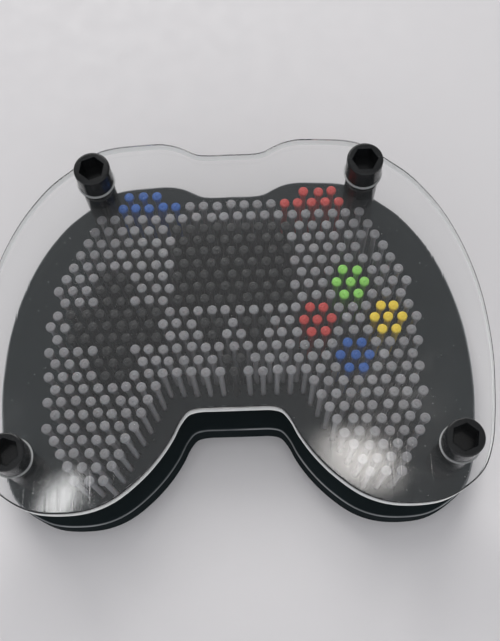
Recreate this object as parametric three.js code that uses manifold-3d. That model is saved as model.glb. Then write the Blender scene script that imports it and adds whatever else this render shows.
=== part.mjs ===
// Pin art impression toy shaped like a game controller.
// A thick clear cover stands on four spacer posts above a black base.  Long plastic pins run
// through the top of the base and through the plate that closes its back, so whatever is pressed
// against their tips from below lifts their round heads towards the cover.
// Millimetres, +Z up; the origin is the centre of the underside, +X to the right hand grip and
// +Y away from the grips.

import * as THREE from 'three';
import { mergeVertices } from 'three/addons/utils/BufferGeometryUtils.js';
import Module from 'manifold-3d';

const wasm = await Module();
wasm.setup();

// ---------------------------------------------------------------- driving dimensions

const gap = 0.3; // clearance left between pieces that touch
const past = 1; // how far a cutter runs beyond the face it cuts
const baseHeight = 10.9;
const topThickness = 3; // of the base's top, which guides the pins
const backThickness = 2.6; // of the plate that closes the base from below
const wallThickness = 2.5;

const coverThickness = 6;
const coverTop = 44.9;
const coverBottom = coverTop - coverThickness;

const pinPitch = 4.6; // from pin to pin along a row
const rowPitch = 4.2; // from row to row; every row is set half a pitch from its neighbours
const rearRowY = 45;
const stemDiameter = 1.9;
const headDiameter = 3.3;
const headHeight = 1.6;
const headTop = coverBottom - 0.9;
const headSection = [[1, 0.15], [1, 0.5], [0.6, 1]]; // shares of a head's radius and height
const stemLength = headTop - headHeight;
const tipHeight = 0.8; // of a stem's pointed foot
const squareStemHalf = stemDiameter * 0.45; // a square stem with about a round one's section
const slotWidth = stemDiameter + 0.7;
const linkWidth = 1.6; // of the links that join the heads of a zone
const longRun = 3 * pinPitch; // runs that face each other for longer get a link at both ends

const postDiameter = 11;
const bossDiameter = 10.8;
const capDiameter = 12;
const capHeight = 9.2;
const capChamfer = 0.8;
const socketAcrossFlats = 7.2;
const socketDepth = 6;
const shankDiameter = 5;
const shankHole = shankDiameter + 2 * gap;
const shankEnd = 1.2; // height of the screw's tip above the underside
const nutAcrossFlats = 8;
const nutThickness = 3.6;
const nutBottom = 0.9;
const screwPlaces = {
  rear_left: [-45.1, 48.8],
  rear_right: [45.1, 48.8],
  front_left: [-68.7, -44.8],
  front_right: [68.7, -44.8],
};
const roundSides = 12; // flats that stand for a round post or bore
const capSides = 16;
const shankSides = 8;
const pinSides = 6;

// Right half of the controller outline, from the middle of the rear edge round to the middle of
// the notch between the grips.  The left half is its mirror image.
const halfOutline = [
  [0, 57.5], [8.1, 57.5], [11.6, 58.1], [15.1, 59.9], [18.7, 61.5], [23.2, 62.4], [31.3, 62.2],
  [39.4, 61.5], [44.4, 60.2], [49.1, 57.2], [54, 53.4], [60.4, 48], [65.4, 42], [69.7, 35.6],
  [73.4, 28.4], [76.5, 20.5], [79, 12], [80.8, 3], [81.8, -7], [82.1, -17], [81.5, -27],
  [80.5, -36.5], [78.9, -45], [75.7, -52.5], [70, -57.7], [62.6, -61.4], [54, -62.4],
  [45.4, -61.6], [37.9, -58.7], [30.1, -52.8], [24.2, -46.5], [19.8, -40.1], [17.2, -35],
  [14.7, -32], [11.6, -31.1], [6.1, -31], [0, -31],
];

// The pin field seen from above, rear row first, every row centred on the middle of the toy.
//   #  grey body      L R  bumpers      t  touch pad      d  direction pad      v m h  small keys
//   n e s w  round action buttons       .  no pin
const pinMap = [
  'LLL..........RRR',
  'LLLLL#######RRRRR',
  '####################',
  '######ttttttttt######',
  '#######tttttttt#######',
  '#######ttttttttt#####.#',
  '########tttttttt########',
  '###dd###ttttttttt###nn###',
  '###ddd###tttttttt###nnn###',
  '###dd###ttttttttt###nn###',
  '#ddddddd##########ww###ee#',
  '##dddddd###vv#mm##www##eee#',
  '#ddddddd###v##m###ww###ee#',
  '####dd###############ss####',
  '###ddd######hh######sss###',
  '####dd#######h#######ss####',
  '########..........########',
  '########...........########',
  '#######............#######',
  '#######.............#######',
  '######..............######',
  '#####...............#####',
  '####................####',
  '###.................###',
];

const namedZones = {
  L: 'pins_left_bumper',
  R: 'pins_right_bumper',
  t: 'pins_touch_pad',
  d: 'pins_direction_pad',
  v: 'pins_view_key',
  m: 'pins_menu_key',
  h: 'pins_home_key',
};
const buttonColours = { n: 'green', e: 'yellow', s: 'blue', w: 'red' };

// The grey pins are grouped by where they stand.
const rearRows = 10;
const gripRows = 16;
const rearCentreHalfWidth = 20;
const middleCentreHalfWidth = 33.4;

const colours = {
  black: 0x141617,
  charcoal: 0x3c4143,
  clear: 0xe6ecec,
  steel: 0x8f9497,
  grey: 0x9a9aa4,
  blue: 0x2358be,
  red: 0xd8413c,
  green: 0x7fd766,
  yellow: 0xebc832,
};
const zoneColours = { L: 'blue', R: 'red' };

// ---------------------------------------------------------------- solids

function solidFrom(geometry) {
  const bare = geometry.index ? geometry.toNonIndexed() : geometry.clone();
  bare.deleteAttribute('normal');
  bare.deleteAttribute('uv');
  const merged = mergeVertices(bare, 1e-4);
  const mesh = new wasm.Mesh({
    numProp: 3,
    vertProperties: new Float32Array(merged.attributes.position.array),
    triVerts: new Uint32Array(merged.index.array),
  });
  return new wasm.Manifold(mesh);
}

function geometryFrom(solid) {
  const mesh = solid.getMesh();
  const geometry = new THREE.BufferGeometry();
  geometry.setAttribute('position', new THREE.BufferAttribute(mesh.vertProperties, 3));
  geometry.setIndex(new THREE.BufferAttribute(mesh.triVerts, 1));
  return geometry;
}

function joined(solids) {
  return solids.reduce((whole, solid) => whole.add(solid));
}

function cut(solid, tools) {
  return tools.reduce((left, tool) => left.subtract(tool), solid);
}

function box(xLow, xHigh, yLow, yHigh, zLow, zHigh) {
  const geometry = new THREE.BoxGeometry(xHigh - xLow, yHigh - yLow, zHigh - zLow);
  geometry.translate((xLow + xHigh) / 2, (yLow + yHigh) / 2, (zLow + zHigh) / 2);
  return solidFrom(geometry);
}

// An upright prism with a regular section: many sides for a cylinder, six for a hexagon.
function column([x, y], diameter, zLow, zHigh, sides = roundSides) {
  const geometry = new THREE.CylinderGeometry(diameter / 2, diameter / 2, zHigh - zLow, sides);
  geometry.rotateX(Math.PI / 2);
  geometry.translate(x, y, (zLow + zHigh) / 2);
  return solidFrom(geometry);
}

// A solid of revolution about an upright axis; the profile runs outwards from the axis at the
// bottom and back to it at the top.
function turned([x, y], profile, sides, angle = 0) {
  const points = profile.map(([radius, z]) => new THREE.Vector2(radius, z));
  const geometry = new THREE.LatheGeometry(points, sides);
  geometry.rotateX(Math.PI / 2);
  geometry.rotateZ(angle);
  geometry.translate(x, y, 0);
  return solidFrom(geometry);
}

function hexColumn(place, acrossFlats, zLow, zHigh) {
  return column(place, acrossFlats / Math.cos(Math.PI / 6), zLow, zHigh, 6);
}

// ---------------------------------------------------------------- controller outline

function outlinePoints() {
  const right = halfOutline.map(([x, y]) => new THREE.Vector2(x, y));
  const left = halfOutline.slice(1, -1).reverse().map(([x, y]) => new THREE.Vector2(-x, y));
  return [...right, ...left];
}

// The outline drawn inwards by a distance, as a closed shape.
function outlineShape(inset = 0) {
  const points = outlinePoints();
  const moved = points.map((point, i) => {
    const before = points[(i + points.length - 1) % points.length];
    const after = points[(i + 1) % points.length];
    const along = new THREE.Vector2(after.x - before.x, after.y - before.y).normalize();
    return new THREE.Vector2(point.x + along.y * inset, point.y - along.x * inset);
  });
  return new THREE.Shape(moved);
}

function slab(inset, zLow, zHigh) {
  const geometry = new THREE.ExtrudeGeometry(outlineShape(inset), {
    depth: zHigh - zLow,
    bevelEnabled: false,
  });
  geometry.translate(0, 0, zLow);
  return solidFrom(geometry);
}

// ---------------------------------------------------------------- pin layout

function zoneOf(key, x, row) {
  if (key in namedZones) {
    return namedZones[key];
  }
  const side = x < 0 ? 'left' : 'right';
  if (row >= gripRows) {
    return `pins_${side}_grip`;
  }
  const band = row < rearRows ? 'rear' : 'middle';
  const centreHalfWidth = row < rearRows ? rearCentreHalfWidth : middleCentreHalfWidth;
  return Math.abs(x) < centreHalfWidth ? `pins_${band}_centre` : `pins_${band}_${side}`;
}

function readPinMap() {
  return pinMap.flatMap((keys, row) => [...keys].flatMap((key, i) => {
    if (key === '.') {
      return [];
    }
    const x = (i - (keys.length - 1) / 2) * pinPitch;
    const y = rearRowY - row * rowPitch;
    return [{ key, row, x, y, zone: key in buttonColours ? null : zoneOf(key, x, row) }];
  }));
}

// Pins that follow one another along a row without a break, as runs with a first and last x.
function runsOf(pins) {
  const runs = [];
  for (const pin of pins) {
    const run = runs.at(-1);
    if (run && run.row === pin.row && pin.x - run.xLast < pinPitch + gap) {
      run.xLast = pin.x;
    } else {
      runs.push({ row: pin.row, y: pin.y, xFirst: pin.x, xLast: pin.x });
    }
  }
  return runs;
}

// ---------------------------------------------------------------- base

function guideSlots(pins, zLow, zHigh) {
  const half = slotWidth / 2;
  return runsOf(pins).map(({ xFirst, xLast, y }) => (
    box(xFirst - half, xLast + half, y - half, y + half, zLow, zHigh)
  ));
}

function screwBores(zLow, zHigh) {
  return Object.values(screwPlaces).map((place) => column(place, shankHole, zLow, zHigh));
}

// The black body: a flat top full of guide slots and a wall all round it, open underneath.
function baseShell(pins) {
  const topUnderside = baseHeight - topThickness;
  const block = slab(0, 0, baseHeight);
  const hollow = slab(wallThickness, -past, topUnderside);
  const slots = guideSlots(pins, topUnderside - past, baseHeight + past);
  return cut(block, [hollow, ...screwBores(0, baseHeight + past), ...slots]);
}

// The plate that closes the base.  A boss rises from it round each screw and holds a nut in a
// hexagonal pocket.
function backPlate(pins) {
  const places = Object.values(screwPlaces);
  const bossTop = baseHeight - topThickness - gap;
  const pocketTop = nutBottom + nutThickness + gap;
  const plate = slab(wallThickness + gap, 0, backThickness);
  const bosses = places.map((place) => column(place, bossDiameter, backThickness / 2, bossTop));
  const pockets = places.map((place) => (
    hexColumn(place, nutAcrossFlats + 2 * gap, -past, pocketTop)
  ));
  const slots = guideSlots(pins, -past, backThickness + past);
  return cut(joined([plate, ...bosses]), [...screwBores(-past, baseHeight), ...pockets, ...slots]);
}

// ---------------------------------------------------------------- cover and fasteners

function cover() {
  const bores = screwBores(coverBottom - past, coverTop + past);
  return cut(slab(0, coverBottom, coverTop), bores);
}

function spacerPost(place) {
  const low = baseHeight + gap;
  const high = coverBottom - gap;
  const bore = column(place, shankHole, low - past, high + past);
  return cut(column(place, postDiameter, low, high), [bore]);
}

function capScrew(place) {
  const capBottom = coverTop + gap;
  const capTop = capBottom + capHeight;
  const profile = [
    [0, capBottom],
    [capDiameter / 2, capBottom],
    [capDiameter / 2, capTop - capChamfer],
    [capDiameter / 2 - capChamfer, capTop],
    [0, capTop],
  ];
  const socket = hexColumn(place, socketAcrossFlats, capTop - socketDepth, capTop + past);
  const shank = column(place, shankDiameter, shankEnd, capBottom + past, shankSides);
  return cut(turned(place, profile, capSides).add(shank), [socket]);
}

function hexNut(place) {
  const low = nutBottom;
  const high = nutBottom + nutThickness;
  const bore = column(place, shankHole, low - past, high + past);
  return cut(hexColumn(place, nutAcrossFlats, low, high), [bore]);
}

// ---------------------------------------------------------------- pins

// One pin by itself: a long stem with a pointed foot, under a head with a rounded top.
function singlePin({ x, y }) {
  const stemRadius = stemDiameter / 2;
  const head = headSection.map(([outwards, upwards]) => (
    [outwards * headDiameter / 2, stemLength + upwards * headHeight]
  ));
  const stem = [[0, 0], [stemRadius, tipHeight], [stemRadius, stemLength]];
  return turned([x, y], [...stem, ...head, [0, headTop]], pinSides);
}

// The links that tie a run of heads to the next row's run in the same zone.
function linksBetween(run, next) {
  const reach = headDiameter / 2;
  const low = Math.max(run.xFirst, next.xFirst) - reach;
  const high = Math.min(run.xLast, next.xLast) + reach;
  if (high <= low) {
    return [];
  }
  const half = Math.min(linkWidth, high - low) / 2;
  const ends = high - low > longRun ? [low + pinPitch, high - pinPitch] : [(low + high) / 2];
  return ends.map((x) => (
    box(x - half, x + half, next.y + reach / 2, run.y - reach / 2, stemLength, headTop)
  ));
}

// The square stem of a pin in a zone, with a pointed foot; it ends inside the pin's head.
function zoneStem({ x, y }) {
  const corner = squareStemHalf * Math.SQRT2;
  const top = stemLength + headHeight / 2;
  const profile = [[0, 0], [corner, tipHeight], [corner, top], [0, top]];
  return turned([x, y], profile, 4, Math.PI / 4);
}

// A zone of pins that slide together: their stems, joined at the heads.
function pinZone(pins) {
  const reach = headDiameter / 2;
  const runs = runsOf(pins);
  const bars = runs.map(({ xFirst, xLast, y }) => (
    box(xFirst - reach, xLast + reach, y - reach, y + reach, stemLength, headTop)
  ));
  const links = runs.flatMap((run) => (
    runs.filter((next) => next.row === run.row + 1).flatMap((next) => linksBetween(run, next))
  ));
  const stems = pins.map(zoneStem);
  return joined([...bars, ...links, ...stems]);
}

// ---------------------------------------------------------------- assembly

const materials = {
  base: { color: colours.black, roughness: 0.25, metalness: 0 },
  backPlate: { color: colours.charcoal, roughness: 0.4, metalness: 0 },
  hardware: { color: colours.black, roughness: 0.2, metalness: 0 },
  nut: { color: colours.steel, roughness: 0.4, metalness: 1 },
  cover: { color: colours.clear, roughness: 0.05, metalness: 0, transparent: true, opacity: 0.3 },
};

function pinMaterial(colour) {
  return { color: colours[colour], roughness: 0.3, metalness: 0 };
}

const group = new THREE.Group();

function addPiece(name, solid, look) {
  const mesh = new THREE.Mesh(geometryFrom(solid), new THREE.MeshStandardMaterial(look));
  mesh.name = name;
  group.add(mesh);
}

const pins = readPinMap();

addPiece('base_shell', baseShell(pins), materials.base);
addPiece('back_plate', backPlate(pins), materials.backPlate);
addPiece('cover', cover(), materials.cover);
for (const [where, place] of Object.entries(screwPlaces)) {
  addPiece(`spacer_post_${where}`, spacerPost(place), materials.hardware);
  addPiece(`cap_screw_${where}`, capScrew(place), materials.hardware);
  addPiece(`nut_${where}`, hexNut(place), materials.nut);
}
for (const [key, colour] of Object.entries(buttonColours)) {
  pins.filter((pin) => pin.key === key).forEach((pin, i) => {
    addPiece(`pin_${colour}_${i + 1}`, singlePin(pin), pinMaterial(colour));
  });
}
const zones = new Set(pins.map((pin) => pin.zone).filter(Boolean));
for (const zone of zones) {
  const members = pins.filter((pin) => pin.zone === zone);
  const key = members[0].key;
  const plain = key === '#' ? 'grey' : 'black';
  addPiece(zone, pinZone(members), pinMaterial(zoneColours[key] ?? plain));
}

export default group;
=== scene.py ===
"""Looks of the controller-shaped pin art toy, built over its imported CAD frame.  Metres, +Z up."""

import math
import random

import bpy
import numpy as np
from mathutils import Matrix, Vector


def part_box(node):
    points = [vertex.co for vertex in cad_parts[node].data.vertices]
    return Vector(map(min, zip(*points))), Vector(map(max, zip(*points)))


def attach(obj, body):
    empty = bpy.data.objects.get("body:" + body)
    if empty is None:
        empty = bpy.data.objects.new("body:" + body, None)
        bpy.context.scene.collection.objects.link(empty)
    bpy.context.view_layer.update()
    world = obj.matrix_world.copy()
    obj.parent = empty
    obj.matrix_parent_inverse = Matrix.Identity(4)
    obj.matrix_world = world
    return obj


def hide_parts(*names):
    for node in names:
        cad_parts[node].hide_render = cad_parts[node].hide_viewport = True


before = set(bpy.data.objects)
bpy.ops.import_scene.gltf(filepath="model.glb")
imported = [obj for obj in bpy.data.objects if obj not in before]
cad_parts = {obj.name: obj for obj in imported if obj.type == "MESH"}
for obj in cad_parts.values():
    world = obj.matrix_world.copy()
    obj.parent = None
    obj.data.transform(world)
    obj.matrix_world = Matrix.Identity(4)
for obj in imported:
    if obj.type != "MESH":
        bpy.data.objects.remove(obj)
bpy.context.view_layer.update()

MM = 0.001
SEED = 11
WHERE = ("rear_left", "rear_right", "front_left", "front_right")

# ---------------------------------------------------------------- sizes read from the frame

COVER_LOW, COVER_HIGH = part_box("cover")
POST_LOW, POST_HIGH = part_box("spacer_post_rear_left")
CAP_LOW, CAP_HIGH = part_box("cap_screw_rear_left")
NUT_LOW, NUT_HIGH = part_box("nut_rear_left")

BASE_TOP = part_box("base_shell")[1].z
COVER_TOP = COVER_HIGH.z
COVER_BOTTOM = COVER_LOW.z
POST_RADIUS = (POST_HIGH.x - POST_LOW.x) / 2
CAP_RADIUS = (CAP_HIGH.x - CAP_LOW.x) / 2
CAP_TOP = CAP_HIGH.z
SHANK_END = CAP_LOW.z
NUT_FLATS = NUT_HIGH.x - NUT_LOW.x
HEAD_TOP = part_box("pin_green_1")[1].z

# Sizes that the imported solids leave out.
TOP_THICKNESS = 3 * MM
BACK_THICKNESS = 2.6 * MM
WALL = 2.5 * MM
PLATE_GAP = 0.3 * MM
BOSS_RADIUS = 5.4 * MM
SHANK_RADIUS = 2.5 * MM
SHANK_HOLE_RADIUS = 2.8 * MM
NUT_POCKET_TOP = 4.8 * MM
SOCKET_FLATS = 7.2 * MM
SOCKET_DEPTH = 6 * MM
SOCKET_MOUTH = 0.25 * MM
COVER_CORNER = 0.5 * MM
POLISHED_RIM = 1.9 * MM
RING_RADIUS = CAP_RADIUS + 0.4 * MM
RING_DEPTH = 0.25 * MM
STEM_RADIUS = 0.95 * MM
GUIDE_RADIUS = 1.5 * MM
HEAD_RADIUS = 1.65 * MM
HEAD_HEIGHT = 1.6 * MM

# How far a cutting tool reaches past the part it cuts, and a gap too small to see.
PAST = 1 * MM
HAIR = 0.01 * MM

# How far the hexagonal sockets are turned, in radians: the first, and each step to the next.
FIRST_SOCKET_TURN = 0.35
SOCKET_TURN_STEP = 0.7

# Edges sharper than this many degrees stay crisp on parts with holes cut in them.
CUT_ANGLE = 28

ZONE_COLOURS = {
    "pins_left_bumper": "blue",
    "pins_right_bumper": "red",
    "pins_touch_pad": "black",
    "pins_direction_pad": "black",
    "pins_view_key": "black",
    "pins_menu_key": "black",
    "pins_home_key": "black",
    "pins_rear_left": "grey",
    "pins_rear_centre": "grey",
    "pins_rear_right": "grey",
    "pins_middle_left": "grey",
    "pins_middle_centre": "grey",
    "pins_middle_right": "grey",
    "pins_left_grip": "grey",
    "pins_right_grip": "grey",
}
BUTTON_COLOURS = ("green", "yellow", "blue", "red")

# How far pins tip in their guide holes, in degrees.  Beyond the most, a pin that is pressed all
# the way down would cut into the edge of its hole.
PIVOT_HEIGHT = BASE_TOP / 2
USUAL_LEAN = 0.38
MOST_LEAN = 0.82
LOOSE_LEAN = {"pins_left_grip": 0.55, "pins_right_grip": 0.75, "pins_middle_right": 0.5}
PINS_PER_BUTTON = 7


# ---------------------------------------------------------------- mesh helpers

def mesh_object(name, vertices, faces, smooth_angle=32):
    mesh = bpy.data.meshes.new(name)
    mesh.from_pydata([tuple(v) for v in vertices], [], [tuple(f) for f in faces])
    mesh.validate()
    obj = bpy.data.objects.new(name, mesh)
    bpy.context.scene.collection.objects.link(obj)
    if smooth_angle:
        shade(obj, smooth_angle)
    return obj


def shade(obj, smooth_angle=32):
    """Smooth shading that keeps edges sharper than the angle crisp and wide flat faces flat."""
    obj.data.polygons.foreach_set("use_smooth", [True] * len(obj.data.polygons))
    obj.data.set_sharp_from_angle(angle=math.radians(smooth_angle))
    modifier = obj.modifiers.new("flat_faces", "WEIGHTED_NORMAL")
    modifier.mode = "FACE_AREA"
    modifier.weight = 100
    modifier.keep_sharp = True
    apply_modifiers(obj)


def apply_modifiers(obj):
    result = obj.evaluated_get(bpy.context.evaluated_depsgraph_get())
    mesh = bpy.data.meshes.new_from_object(result)
    obj.modifiers.clear()
    obj.data = mesh


def loft(rings, close_start=True, close_end=True):
    """Vertices and faces of a skin through rings that all have the same number of points."""
    count = len(rings[0])
    vertices = [point for ring in rings for point in ring]
    faces = []
    for level in range(len(rings) - 1):
        for i in range(count):
            j = (i + 1) % count
            low, high = level * count, (level + 1) * count
            faces.append((low + i, low + j, high + j, high + i))
    if close_start:
        faces.append(tuple(reversed(range(count))))
    if close_end:
        faces.append(tuple(range((len(rings) - 1) * count, len(rings) * count)))
    return vertices, faces


def circle(radius, z, sides, turn=0.0):
    angles = [math.tau * i / sides + turn for i in range(sides)]
    return [(radius * math.cos(a), radius * math.sin(a), z) for a in angles]


def turned(profile, sides):
    """A solid of revolution from a list of (radius, z), lowest first, with flat ends."""
    return loft([circle(radius, z, sides) for radius, z in profile])


def hexagon(flats, z, turn=math.pi / 6):
    """A hexagon that is `flats` wide between opposite sides."""
    return circle(flats / 2 / math.cos(math.pi / 6), z, 6, turn)


def placed(part, place):
    vertices, faces = part
    return [(x + place[0], y + place[1], z) for x, y, z in vertices], faces


def several(parts):
    """One set of vertices and faces that holds many parts."""
    vertices, faces = [], []
    for part_vertices, part_faces in parts:
        start = len(vertices)
        vertices.extend(part_vertices)
        faces.extend(tuple(start + i for i in face) for face in part_faces)
    return vertices, faces


def boolean(obj, tool_part, operation):
    """Applies a cut or a join with a closed part that isn't kept."""
    tool = mesh_object("tool", *tool_part, smooth_angle=None)
    modifier = obj.modifiers.new("boolean", "BOOLEAN")
    modifier.object = tool
    modifier.operation = operation
    modifier.solver = "MANIFOLD"
    apply_modifiers(obj)
    bpy.data.objects.remove(tool)


def arc(centre_inset, centre_z, radius, start, end, steps):
    """Points (inset, z) of a round edge; angle 0 looks outwards and 90 looks up."""
    points = []
    for i in range(steps + 1):
        angle = math.radians(start + (end - start) * i / steps)
        points.append((centre_inset - radius * math.cos(angle), centre_z + radius * math.sin(angle)))
    return points


# ---------------------------------------------------------------- controller outline

def top_rim(node):
    """The outer rim of a CAD node's flat top, as points in order."""
    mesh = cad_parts[node].data
    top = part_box(node)[1].z
    key = {v.index: (round(v.co.x, 6), round(v.co.y, 6)) for v in mesh.vertices}
    edges = {}
    for face in mesh.polygons:
        if all(abs(mesh.vertices[i].co.z - top) < 1e-6 for i in face.vertices):
            ring = [key[i] for i in face.vertices]
            for a, b in zip(ring, ring[1:] + ring[:1]):
                edges[(a, b)] = True
    onward = {a: b for a, b in edges if (b, a) not in edges}
    start = max(onward)
    rim = [start]
    while onward[rim[-1]] != start:
        rim.append(onward[rim[-1]])
    return np.array(rim)


def rounded(points, steps=4):
    """A smooth closed curve through the points: a centripetal Catmull-Rom spline."""
    p0, p1, p2, p3 = (np.roll(points, shift, axis=0) for shift in (1, 0, -1, -2))
    g0, g1, g2 = (np.sqrt(np.linalg.norm(b - a, axis=1))[:, None]
                  for a, b in ((p0, p1), (p1, p2), (p2, p3)))
    leaving = ((p1 - p0) / g0 - (p2 - p0) / (g0 + g1) + (p2 - p1) / g1) * g1
    arriving = ((p2 - p1) / g1 - (p3 - p1) / (g1 + g2) + (p3 - p2) / g2) * g1
    stages = []
    for t in np.arange(steps) / steps:
        stages.append(
            (2 * t ** 3 - 3 * t ** 2 + 1) * p1 + (t ** 3 - 2 * t ** 2 + t) * leaving
            + (3 * t ** 2 - 2 * t ** 3) * p2 + (t ** 3 - t ** 2) * arriving
        )
    return np.stack(stages, axis=1).reshape(-1, 2)


OUTLINE = rounded(top_rim("cover"))
ALONG = np.roll(OUTLINE, -1, axis=0) - np.roll(OUTLINE, 1, axis=0)
INWARDS = np.stack([-ALONG[:, 1], ALONG[:, 0]], axis=1)
INWARDS /= np.linalg.norm(INWARDS, axis=1)[:, None]


def outline_ring(inset, z):
    ring = OUTLINE + INWARDS * inset
    return [(x, y, z) for x, y in ring]


def outline_solid(profile):
    """A solid with the controller outline; the profile lists (inset, z) and ends on flat faces."""
    return loft([outline_ring(inset, z) for inset, z in profile])


# ---------------------------------------------------------------- pin places

def centre(node):
    low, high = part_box(node)
    return ((low.x + high.x) / 2, (low.y + high.y) / 2)


def stem_places(node):
    """Where the stems of a CAD pin node stand: its pointed feet."""
    feet = {(round(v.co.x, 5), round(v.co.y, 5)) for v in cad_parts[node].data.vertices
            if v.co.z < 0.1 * MM}
    return sorted(feet)


BUTTON_PINS = [f"pin_{colour}_{i + 1}" for colour in BUTTON_COLOURS for i in range(PINS_PER_BUTTON)]
PIN_PLACES = {node: stem_places(node) for node in ZONE_COLOURS}
PIN_PLACES.update({node: [centre(node)] for node in BUTTON_PINS})
ALL_PLACES = [place for places in PIN_PLACES.values() for place in places]
SCREW_PLACES = {where: centre(f"cap_screw_{where}") for where in WHERE}


# ---------------------------------------------------------------- material helpers

def new_material(name, colour, roughness, **settings):
    """A Principled material with its even values on the shader's own sockets."""
    material = bpy.data.materials.new(name)
    material.use_nodes = True
    shader = material.node_tree.nodes["Principled BSDF"]
    shader.inputs["Base Color"].default_value = (*colour, 1)
    shader.inputs["Roughness"].default_value = roughness
    for socket, value in settings.items():
        shader.inputs[socket.replace("_", " ")].default_value = value
    return material


def add_node(material, kind, **inputs):
    node = material.node_tree.nodes.new(kind)
    for socket, value in inputs.items():
        node.inputs[socket.replace("_", " ")].default_value = value
    return node


def link(material, output, socket):
    material.node_tree.links.new(output, socket)


def shader_input(material, name):
    return material.node_tree.nodes["Principled BSDF"].inputs[name]


def noise(material, scale, detail=3, stretch=None, turn=0.0):
    """A noise value over the object's own coordinates; the scale is in features for each metre."""
    coordinates = add_node(material, "ShaderNodeTexCoord")
    source = coordinates.outputs["Object"]
    if stretch:
        mapping = add_node(material, "ShaderNodeMapping")
        mapping.inputs["Scale"].default_value = stretch
        mapping.inputs["Rotation"].default_value = (0, 0, turn)
        link(material, source, mapping.inputs["Vector"])
        source = mapping.outputs["Vector"]
    texture = add_node(material, "ShaderNodeTexNoise", Scale=scale, Detail=detail)
    link(material, source, texture.inputs["Vector"])
    return texture.outputs["Fac"]


def remap(material, value, low, high, to_low, to_high):
    node = add_node(material, "ShaderNodeMapRange")
    for socket, number in zip(("From Min", "From Max", "To Min", "To Max"),
                              (low, high, to_low, to_high)):
        node.inputs[socket].default_value = number
    link(material, value, node.inputs["Value"])
    return node.outputs["Result"]


def combined(material, first, second, operation="ADD"):
    node = add_node(material, "ShaderNodeMath")
    node.operation = operation
    link(material, first, node.inputs[0])
    link(material, second, node.inputs[1])
    return node.outputs["Value"]


def set_roughness(material, value):
    link(material, value, shader_input(material, "Roughness"))


def set_bump(material, height, strength, distance):
    bump = add_node(material, "ShaderNodeBump", Strength=strength, Distance=distance)
    link(material, height, bump.inputs["Height"])
    link(material, bump.outputs["Normal"], shader_input(material, "Normal"))


def set_colour_range(material, value, dark, light):
    ramp = add_node(material, "ShaderNodeValToRGB")
    ramp.color_ramp.elements[0].color = (*dark, 1)
    ramp.color_ramp.elements[1].color = (*light, 1)
    link(material, value, ramp.inputs["Fac"])
    link(material, ramp.outputs["Color"], shader_input(material, "Base Color"))


# ---------------------------------------------------------------- materials

def black_plastic(name, gloss=0.16, colour=(0.008, 0.009, 0.0095), specular=0.5):
    """Injection-moulded black plastic with faint flow marks, handling haze and dust."""
    material = new_material(name, colour, gloss, Specular_IOR_Level=specular)
    haze = remap(material, noise(material, 60, 4), 0.35, 0.75, gloss, gloss + 0.14)
    specks = remap(material, noise(material, 2600, 2), 0.66, 0.74, 0.0, 0.25)
    set_roughness(material, combined(material, haze, specks))
    set_bump(material, noise(material, 900, 2), 0.12, 0.02 * MM)
    lighter = tuple(c * 1.9 for c in colour)
    set_colour_range(material, noise(material, 140, 3), colour, lighter)
    return material


def base_plastic():
    """The base's matt black plastic, with a painted highlight along its top edge: a pale band,
    broken into patches.
    """
    colour = (0.0125, 0.0172, 0.0188)
    material = black_plastic("base_plastic", 0.42, colour, 0.001)
    coordinates = add_node(material, "ShaderNodeTexCoord")
    split = add_node(material, "ShaderNodeSeparateXYZ")
    link(material, coordinates.outputs["Object"], split.inputs["Vector"])
    height = split.outputs["Z"]
    # Painted highlight: a pale band just under the top edge, broken into patches, stands in for the
    # light that the edge's round catches.
    below = remap(material, height, BASE_TOP - 0.75 * MM, BASE_TOP - 0.5 * MM, 0, 1)
    above = remap(material, height, BASE_TOP - 0.4 * MM, BASE_TOP - 0.15 * MM, 1, 0)
    edge = combined(material, below, above, "MULTIPLY")
    patchy = remap(material, noise(material, 45, 3), 0.35, 0.6, 0.35, 1)
    rubbed = combined(material, edge, patchy, "MULTIPLY")
    set_colour_range(material, rubbed, colour, (0.3, 0.31, 0.32))
    return material


def clear_acrylic():
    """Polished clear acrylic with fine rubbed scratches that blur its reflections."""
    material = new_material("clear_acrylic", (0.995, 1.0, 1.0), 0.03,
                            Transmission_Weight=1.0, IOR=1.49,
                            Coat_Weight=0.3, Coat_Roughness=0.3, Coat_IOR=1.4)
    rubbed = remap(material, noise(material, 160, 4), 0.45, 0.75, 0.03, 0.09)
    specks = remap(material, noise(material, 1300, 2), 0.755, 0.78, 0.0, 0.35)
    set_roughness(material, combined(material, rubbed, specks))
    scratches = None
    for turn in (0.3, 1.3, 2.4):
        lines = noise(material, 520, 2, stretch=(1, 0.045, 1), turn=turn)
        thin = remap(material, lines, 0.66, 0.72, 0, 1)
        scratches = combined(material, scratches, thin, "MAXIMUM") if scratches else thin
    set_bump(material, scratches, 0.35, 0.01 * MM)
    return material


def sawn_acrylic():
    """The lower rim of the cover: a frosted saw cut, pale in its own right, with a painted glow (a
    faint emission) for the light carried inside the sheet.
    """
    material = new_material("sawn_acrylic", (0.9, 0.92, 0.92), 0.4, Alpha=0.55,
                            Emission_Color=(0.95, 0.98, 0.98, 1), Emission_Strength=0.15)
    marks = noise(material, 500, 3, stretch=(1, 1, 0.15))
    set_colour_range(material, marks, (0.78, 0.8, 0.8), (0.94, 0.95, 0.95))
    set_roughness(material, remap(material, marks, 0.3, 0.7, 0.35, 0.6))
    set_bump(material, marks, 0.2, 0.03 * MM)
    return material


def rim_acrylic():
    """The rounded top corner of the cover's rim, painted dark and opaque as shade, since the clear
    corner bends light away.
    """
    material = new_material("rim_acrylic", (0.015, 0.016, 0.017), 0.2, Specular_IOR_Level=0.2)
    marks = noise(material, 300, 3)
    set_colour_range(material, marks, (0.008, 0.009, 0.01), (0.04, 0.042, 0.043))
    set_roughness(material, remap(material, marks, 0.3, 0.7, 0.15, 0.3))
    set_bump(material, marks, 0.1, 0.02 * MM)
    return material


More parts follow.
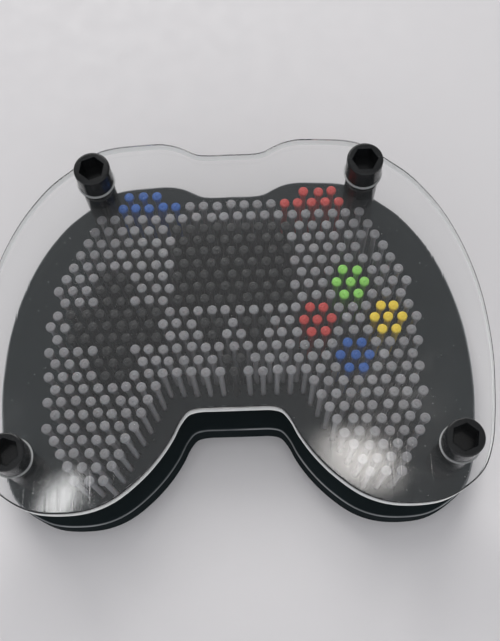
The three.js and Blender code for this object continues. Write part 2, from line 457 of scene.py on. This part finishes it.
def ring_highlight_acrylic():
    """The ring round each screw cap: a painted highlight, pale and matt, for the thin light ring at
    the cap's foot.
    """
    material = new_material("ring_highlight_acrylic", (0.62, 0.63, 0.63), 0.5)
    grains = noise(material, 1800, 3)
    set_colour_range(material, grains, (0.36, 0.37, 0.37), (0.85, 0.86, 0.86))
    set_roughness(material, remap(material, grains, 0.3, 0.7, 0.3, 0.65))
    set_bump(material, grains, 0.4, 0.05 * MM)
    return material


def pin_plastic(name, colour, gloss=0.42):
    """Moulded polystyrene for pins: each pin's tone differs a little from the next."""
    material = new_material(name, colour, gloss, Subsurface_Weight=0.06, Subsurface_Scale=0.0008,
                            Specular_IOR_Level=0.22)
    geometry = add_node(material, "ShaderNodeNewGeometry")
    dark = tuple(c * 0.86 for c in colour)
    light = tuple(min(1.0, c * 1.1) for c in colour)
    set_colour_range(material, geometry.outputs["Random Per Island"], dark, light)
    set_roughness(material, remap(material, noise(material, 700, 3), 0.3, 0.7,
                                  gloss - 0.06, gloss + 0.12))
    set_bump(material, noise(material, 2200, 2), 0.15, 0.02 * MM)
    return material


def plated_steel():
    material = new_material("plated_steel", (0.52, 0.53, 0.55), 0.34, Metallic=1.0)
    set_roughness(material, remap(material, noise(material, 900, 4), 0.3, 0.7, 0.26, 0.5))
    set_bump(material, noise(material, 1600, 3, stretch=(1, 1, 0.1)), 0.2, 0.03 * MM)
    return material


def table_top():
    material = new_material("table_top", (0.74, 0.725, 0.735), 0.5)
    set_colour_range(material, noise(material, 9, 4), (0.72, 0.705, 0.715), (0.76, 0.745, 0.755))
    set_roughness(material, remap(material, noise(material, 120, 4), 0.3, 0.7, 0.42, 0.58))
    set_bump(material, noise(material, 700, 3), 0.1, 0.05 * MM)
    return material


MATERIALS = {
    "base": base_plastic(),
    "back": black_plastic("back_plastic", 0.32, (0.02, 0.022, 0.024)),
    "post": black_plastic("post_plastic", 0.14, (0.004, 0.0045, 0.005), 0.4),
    "screw": black_plastic("screw_plastic", 0.16, (0.004, 0.0045, 0.005), 0.4),
    "cover": clear_acrylic(),
    "cover_edge": sawn_acrylic(),
    "cover_rim": rim_acrylic(),
    "cover_ring": ring_highlight_acrylic(),
    "nut": plated_steel(),
    "grey": pin_plastic("pin_grey", (0.18, 0.18, 0.19)),
    "black": pin_plastic("pin_black", (0.006, 0.007, 0.0075)),
    "blue": pin_plastic("pin_blue", (0.004, 0.065, 0.27)),
    "red": pin_plastic("pin_red", (0.38, 0.035, 0.03)),
    "green": pin_plastic("pin_green", (0.20, 0.50, 0.08)),
    "yellow": pin_plastic("pin_yellow", (0.64, 0.47, 0.03)),
}


def finish_piece(obj, material, slot, body, *nodes):
    obj.data.materials.clear()
    obj.data.materials.append(MATERIALS[material])
    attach(obj, body)
    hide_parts(*nodes)
    return obj


# ---------------------------------------------------------------- base

def rod(radius, low, high, sides):
    return turned([(radius, low), (radius, high)], sides)


def at_screws(part):
    """The part once at every screw."""
    return several([placed(part, place) for place in SCREW_PLACES.values()])


def guide_holes(low, high, sides=14):
    hole = rod(GUIDE_RADIUS, low, high, sides)
    return several([placed(hole, place) for place in ALL_PLACES])


def screw_holes(low, high):
    return at_screws(rod(SHANK_HOLE_RADIUS, low, high, 32))


def make_base_shell():
    top_edge = 1.4 * MM
    foot_edge = 0.4 * MM
    underside = BASE_TOP - TOP_THICKNESS
    profile = [(WALL, underside), (WALL, foot_edge), (WALL - foot_edge, 0.0), (foot_edge, 0.0),
               *arc(foot_edge, foot_edge, foot_edge, -60, 0, 2),
               *arc(top_edge, BASE_TOP - top_edge, top_edge, 0, 90, 8)]
    obj = mesh_object("base_shell_moulding", *outline_solid(profile))
    boolean(obj, guide_holes(underside - PAST, BASE_TOP + PAST), "DIFFERENCE")
    boolean(obj, screw_holes(underside - PAST, BASE_TOP + PAST), "DIFFERENCE")
    shade(obj, CUT_ANGLE)
    return finish_piece(obj, "base", "base_black", "frame", "base_shell")


def make_back_plate():
    edge = 0.4 * MM
    inset = WALL + PLATE_GAP
    boss_top = BASE_TOP - TOP_THICKNESS - PLATE_GAP
    profile = [(inset + edge, 0.0), (inset, edge), (inset, BACK_THICKNESS - edge),
               (inset + edge, BACK_THICKNESS)]
    obj = mesh_object("back_plate_moulding", *outline_solid(profile))
    boss = rod(BOSS_RADIUS, BACK_THICKNESS / 2, boss_top, 40)
    pocket = loft([hexagon(NUT_FLATS + 2 * PLATE_GAP, z) for z in (-PAST, NUT_POCKET_TOP)])
    boolean(obj, at_screws(boss), "UNION")
    boolean(obj, guide_holes(-PAST, BACK_THICKNESS + PAST), "DIFFERENCE")
    boolean(obj, at_screws(pocket), "DIFFERENCE")
    boolean(obj, screw_holes(-PAST, BASE_TOP), "DIFFERENCE")
    shade(obj, CUT_ANGLE)
    return finish_piece(obj, "back", "plate_charcoal", "frame", "back_plate")


# ---------------------------------------------------------------- cover and fasteners

def cover_finish(face):
    """The material of a face of the cover: clear, the ring of painted highlight, the frosted rim
    with its painted glow, or the corner painted dark.
    """
    height = face.center.z
    by_screw = any(math.dist(face.center[:2], place) < RING_RADIUS + HAIR
                   for place in SCREW_PLACES.values())
    if by_screw:
        in_ring = COVER_TOP - 1.5 * RING_DEPTH < height < COVER_TOP - HAIR
        return "cover_ring" if in_ring else "cover"
    if face.normal.z > -0.95 and height < COVER_TOP - POLISHED_RIM:
        return "cover_edge"
    if face.normal.z < 0.95 and height > COVER_TOP - COVER_CORNER:
        return "cover_rim"
    return "cover"


def make_cover():
    corner = COVER_CORNER
    profile = [*arc(corner, COVER_BOTTOM + corner, corner, -90, 0, 4),
               (0.0, COVER_TOP - POLISHED_RIM),
               *arc(corner, COVER_TOP - corner, corner, 0, 90, 4)]
    obj = mesh_object("cover_sheet", *outline_solid(profile))
    ring = rod(RING_RADIUS, COVER_TOP - RING_DEPTH, COVER_TOP + PAST, 64)
    boolean(obj, screw_holes(COVER_BOTTOM - PAST, COVER_TOP + PAST), "DIFFERENCE")
    boolean(obj, at_screws(ring), "DIFFERENCE")
    shade(obj, CUT_ANGLE)
    finish_piece(obj, "cover", "cover_clear", "frame", "cover")
    finishes = ["cover", "cover_edge", "cover_ring", "cover_rim"]
    for finish in finishes[1:]:
        obj.data.materials.append(MATERIALS[finish])
    for face in obj.data.polygons:
        face.material_index = finishes.index(cover_finish(face))
    obj.visible_shadow = False
    return obj


def make_post(where):
    low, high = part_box(f"spacer_post_{where}")
    edge = 0.3 * MM
    outer = [(POST_RADIUS - edge, low.z), (POST_RADIUS, low.z + edge),
             (POST_RADIUS, high.z - edge), (POST_RADIUS - edge, high.z)]
    part = placed(turned(outer, 64), SCREW_PLACES[where])
    obj = mesh_object(f"spacer_post_{where}_tube", *part)
    bore = rod(SHANK_HOLE_RADIUS, low.z - PAST, high.z + PAST, 32)
    boolean(obj, placed(bore, SCREW_PLACES[where]), "DIFFERENCE")
    shade(obj, CUT_ANGLE)
    return finish_piece(obj, "post", "hardware_black", "frame", f"spacer_post_{where}")


def make_screw(where, turn):
    """A tall round cap with a deep hexagonal socket, on a long shank."""
    seat = COVER_TOP + PLATE_GAP
    edge = 0.7 * MM
    lead = 0.6 * MM
    profile = [(SHANK_RADIUS - lead, SHANK_END), (SHANK_RADIUS, SHANK_END + lead),
               (SHANK_RADIUS, seat), (CAP_RADIUS - 0.3 * MM, seat),
               (CAP_RADIUS, seat + 0.3 * MM), (CAP_RADIUS, CAP_TOP - edge)]
    for angle in (22.5, 45, 67.5, 90):
        swing = math.radians(angle)
        profile.append((CAP_RADIUS - edge + edge * math.cos(swing),
                        CAP_TOP - edge + edge * math.sin(swing)))
    place = SCREW_PLACES[where]
    obj = mesh_object(f"cap_screw_{where}_body", *placed(turned(profile, 72), place))
    corner = SOCKET_FLATS / 2 / math.cos(math.pi / 6)
    socket = loft([circle(corner, CAP_TOP - SOCKET_DEPTH, 6, turn),
                   circle(corner, CAP_TOP - SOCKET_MOUTH, 6, turn),
                   circle(corner + 2 * SOCKET_MOUTH, CAP_TOP + SOCKET_MOUTH, 6, turn)])
    boolean(obj, placed(socket, place), "DIFFERENCE")
    shade(obj, CUT_ANGLE)
    return finish_piece(obj, "screw", "hardware_black", "frame", f"cap_screw_{where}")


def make_nut(where):
    low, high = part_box(f"nut_{where}")
    across = NUT_FLATS / 2 / math.cos(math.pi / 6)
    flats = loft([hexagon(NUT_FLATS, z) for z in (low.z, high.z)])
    place = SCREW_PLACES[where]
    obj = mesh_object(f"nut_{where}_hex", *placed(flats, place))
    rim = 0.5 * MM
    round_off = turned([(across - rim, low.z - HAIR), (across, low.z + rim * 0.6),
                        (across, high.z - rim * 0.6), (across - rim, high.z + HAIR)], 48)
    boolean(obj, placed(round_off, place), "INTERSECT")
    bore = rod(SHANK_HOLE_RADIUS, low.z - PAST, high.z + PAST, 40)
    boolean(obj, placed(bore, place), "DIFFERENCE")
    shade(obj, CUT_ANGLE)
    return finish_piece(obj, "nut", "nut_steel", "frame", f"nut_{where}")


# ---------------------------------------------------------------- pins

def pin_shape(sides=16):
    """One pin: a rounded tip, a slightly tapered stem and a low head with a ring and a mid nub."""
    r, head = STEM_RADIUS, HEAD_TOP - HEAD_HEIGHT
    under, shoulder, crown = 0.25 * MM, 0.4 * MM, 0.22 * MM
    profile = [(r * 0.45, 0.0), (r * 0.85, 0.12 * MM), (r, 0.45 * MM),
               (r * 0.96, head - 0.5 * MM), (r * 1.15, head),
               (HEAD_RADIUS - under, head + 0.08 * MM), (HEAD_RADIUS, head + under)]
    for inset, z in arc(shoulder, HEAD_TOP - crown - shoulder, shoulder, 0, 75, 4):
        profile.append((HEAD_RADIUS - inset, z))
    for share, drop in ((0.68, 0.45), (0.5, 0.85), (0.32, 0.5), (0.15, 0)):
        profile.append((HEAD_RADIUS * share, HEAD_TOP - crown * drop))
    return turned(profile, sides)


PIN = pin_shape()
PIN_POINTS = np.array(PIN[0])


def lean(draw, spread):
    """A random tip, as the sideways travel of a pin for each unit of its height."""
    tip = math.radians(min(abs(draw.gauss(0, spread)), MOST_LEAN))
    towards = draw.uniform(0, math.tau)
    return np.array([math.cos(towards), math.sin(towards)]) * math.tan(tip)


def clear_lean(place, spread, heads, draw):
    """A lean that keeps the pin's head off the heads already placed; upright if none does."""
    reach = HEAD_TOP - PIVOT_HEIGHT
    for _ in range(40):
        slope = lean(draw, spread)
        head = np.array(place) + slope * reach
        if all(math.dist(head, other) > 2.03 * HEAD_RADIUS for other in heads):
            break
    else:
        slope, head = np.zeros(2), np.array(place)
    heads.append(head)
    return slope


def leaning_pin(place, slope, turn):
    """The pin at a place, turned, and tipped a little about the middle of its guide holes."""
    axis = Vector((-slope[1], slope[0], 0))
    tip = Matrix.Identity(3)
    if axis.length:
        tip = Matrix.Rotation(math.atan(np.linalg.norm(slope)), 3, axis)
    spin = np.array(tip @ Matrix.Rotation(turn, 3, "Z"))
    pivot = np.array([0.0, 0.0, PIVOT_HEIGHT])
    points = (PIN_POINTS - pivot) @ spin.T + pivot
    points[:, 2] = np.maximum(points[:, 2], 0.0)
    points[:, :2] += place
    return [tuple(p) for p in points], PIN[1]


def make_pins():
    draw = random.Random(SEED)
    heads = []
    for node, places in PIN_PLACES.items():
        spread = LOOSE_LEAN.get(node, USUAL_LEAN)
        part = several([leaning_pin(place, clear_lean(place, spread, heads, draw),
                                    draw.uniform(0, math.tau)) for place in places])
        obj = mesh_object(f"{node}_moulded", *part, smooth_angle=50)
        colour = ZONE_COLOURS[node] if node in ZONE_COLOURS else node.split("_")[1]
        finish_piece(obj, colour, f"pin_{colour}", node, node)


# ---------------------------------------------------------------- room

def make_table():
    size = 3.0
    corners = [(-size, -size, 0), (size, -size, 0), (size, size, 0), (-size, size, 0)]
    table = mesh_object("table", corners, [(0, 1, 2, 3)])
    table.location.z = -0.02 * MM
    table.data.materials.append(table_top())


def soften_lamp(light):
    """Lets an area light fade out from its middle to its edges."""
    light.use_nodes = True
    nodes, links = light.node_tree.nodes, light.node_tree.links
    geometry = nodes.new("ShaderNodeNewGeometry")
    offset = nodes.new("ShaderNodeVectorMath")
    offset.operation = "DISTANCE"
    offset.inputs[1].default_value = (0.5, 0.5, 0)
    fade = nodes.new("ShaderNodeMapRange")
    fade.interpolation_type = "SMOOTHSTEP"
    fade.inputs["From Min"].default_value = 0.1
    fade.inputs["From Max"].default_value = 0.5
    fade.inputs["To Min"].default_value = 1
    fade.inputs["To Max"].default_value = 0
    links.new(geometry.outputs["Parametric"], offset.inputs[0])
    links.new(offset.outputs["Value"], fade.inputs["Value"])
    links.new(fade.outputs["Result"], nodes["Emission"].inputs["Strength"])


def area_light(name, location, aim, size, power, colour=(1, 1, 1)):
    data = bpy.data.lights.new(name, "AREA")
    data.shape = "RECTANGLE"
    data.size, data.size_y = size
    data.energy = power
    data.color = colour
    light = bpy.data.objects.new(name, data)
    light.location = location
    light.rotation_euler = (Vector(aim) - Vector(location)).to_track_quat("-Z", "Y").to_euler()
    bpy.context.scene.collection.objects.link(light)
    return light


def make_world():
    """A soft bright room, brightest on the side of the grips."""
    world = bpy.data.worlds.new("studio")
    world.use_nodes = True
    nodes, links = world.node_tree.nodes, world.node_tree.links
    direction = nodes.new("ShaderNodeTexCoord")
    split = nodes.new("ShaderNodeSeparateXYZ")
    level = nodes.new("ShaderNodeMapRange")
    front_end, rear_end = -0.6, 0.1
    front_strength, rear_strength = 0.88, 0.38
    level.inputs["From Min"].default_value = front_end
    level.inputs["From Max"].default_value = rear_end
    level.inputs["To Min"].default_value = front_strength
    level.inputs["To Max"].default_value = rear_strength
    links.new(direction.outputs["Generated"], split.inputs["Vector"])
    links.new(split.outputs["Y"], level.inputs["Value"])
    background = nodes["Background"]
    background.inputs["Color"].default_value = (0.96, 0.97, 1.0, 1)
    links.new(level.outputs["Result"], background.inputs["Strength"])
    bpy.context.scene.world = world


def make_lights():
    area_light("rear_softbox", (-0.25, 1.9, 1.7), (0, 0, 0), (1.8, 1.0), 31, (1, 0.985, 0.97))
    left = area_light("left_lamp", (-0.333, 0.145, 1.345), (-0.05, -0.05, 0.04), (0.15, 0.08), 0.32)
    right = area_light("right_lamp", (0.162, 0.195, 1.345), (0.04, -0.05, 0.04), (0.2, 0.13), 0.6,
                       (1, 0.96, 0.93))
    soften_lamp(left.data)
    soften_lamp(right.data)


def make_camera():
    """The viewing angle: from above the grips, a little to the right, rolled slightly."""
    data = bpy.data.cameras.new("camera")
    data.sensor_width = 36
    data.lens = 54.5
    camera = bpy.data.objects.new("camera", data)
    place = Vector((9.0, -104.3, 339.0)) * MM
    aim = Vector((5.5, -1.1, 40.0)) * MM
    level = (aim - place).to_track_quat("-Z", "Y").to_matrix()
    roll = Matrix.Rotation(math.radians(-3.75), 3, "Z")
    camera.matrix_world = Matrix.Translation(place) @ (level @ roll).to_4x4()
    bpy.context.scene.collection.objects.link(camera)
    bpy.context.scene.camera = camera


# ---------------------------------------------------------------- scene

make_camera()
make_table()
make_world()
make_lights()
make_base_shell()
make_back_plate()
make_cover()
for number, where in enumerate(WHERE):
    make_post(where)
    make_screw(where, FIRST_SOCKET_TURN + number * SOCKET_TURN_STEP)
    make_nut(where)
make_pins()

bpy.context.scene.view_settings.view_transform = "Standard"
